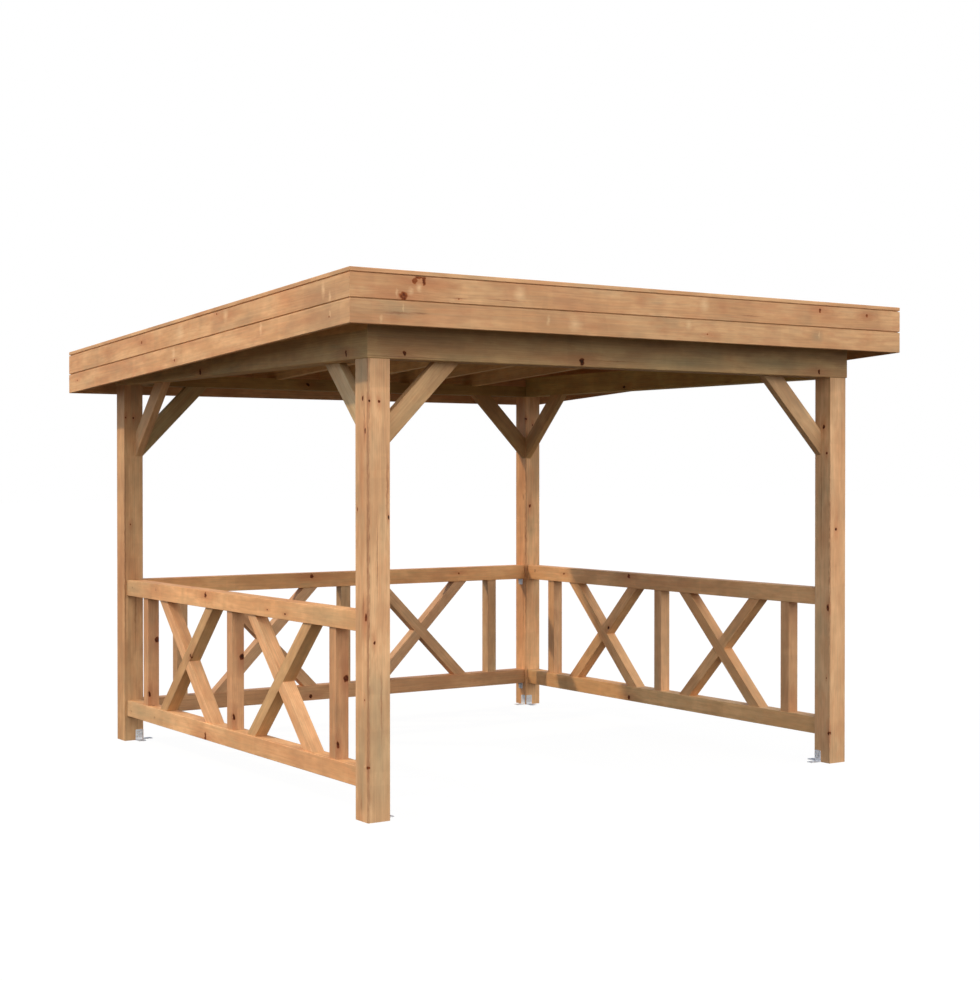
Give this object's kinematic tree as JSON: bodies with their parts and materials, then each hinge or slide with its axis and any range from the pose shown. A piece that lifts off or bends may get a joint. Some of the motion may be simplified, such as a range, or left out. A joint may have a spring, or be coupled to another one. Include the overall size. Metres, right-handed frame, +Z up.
{
  "type": "garden gazebo",
  "caption": "Open square timber pavilion with corner posts, knee braces, crossed balustrades on the closed sides and a low single-pitch roof behind a deep fascia.",
  "frame": {"origin": "on the ground under the middle of the roof outline", "axes": "+X to the right seen from the open front, +Y from the open front to the back, +Z up"},
  "size_m": [3.524, 3.551, 2.5621],
  "materials": {
    "frame_timber": "planed softwood with brown preservative",
    "fascia_timber": "planed softwood with brown preservative",
    "balustrade_timber": "planed softwood with brown preservative",
    "roof_timber": "planed softwood with brown preservative",
    "roofing_felt": "mineral-faced bitumen sheet",
    "galvanised_steel": "hot-dip galvanised"
  },
  "bodies": {
    "root": {"back_balusters": "balustrade_timber", "back_bottom_rail": "balustrade_timber", "back_long_diagonals": "balustrade_timber", "back_short_diagonals": "balustrade_timber", "back_top_rail": "balustrade_timber", "beam_back": "frame_timber", "beam_front": "frame_timber", "beam_left": "frame_timber", "beam_right": "frame_timber", "braces_back_left": "frame_timber", "braces_back_right": "frame_timber", "braces_front_left": "frame_timber", "braces_front_right": "frame_timber", "cap_back": "fascia_timber", "cap_front": "fascia_timber", "cap_left": "fascia_timber", "cap_right": "fascia_timber", "edge_rafters": "roof_timber", "fascia_back_lower": "fascia_timber", "fascia_back_upper": "fascia_timber", "fascia_front_lower": "fascia_timber", "fascia_front_upper": "fascia_timber", "fascia_left_lower": "fascia_timber", "fascia_left_upper": "fascia_timber", "fascia_right_lower": "fascia_timber", "fascia_right_upper": "fascia_timber", "ground_brackets": "galvanised_steel", "left_balusters": "balustrade_timber", "left_bottom_rail": "balustrade_timber", "left_long_diagonals": "balustrade_timber", "left_short_diagonals": "balustrade_timber", "left_top_rail": "balustrade_timber", "post_back_left": "frame_timber", "post_back_right": "frame_timber", "post_front_left": "frame_timber", "post_front_right": "frame_timber", "rafters": "roof_timber", "rail_brackets": "galvanised_steel", "right_balusters": "balustrade_timber", "right_bottom_rail": "balustrade_timber", "right_long_diagonals": "balustrade_timber", "right_short_diagonals": "balustrade_timber", "right_top_rail": "balustrade_timber", "roof_deck": "roof_timber", "roof_felt": "roofing_felt"}
  },
  "joints": []
}
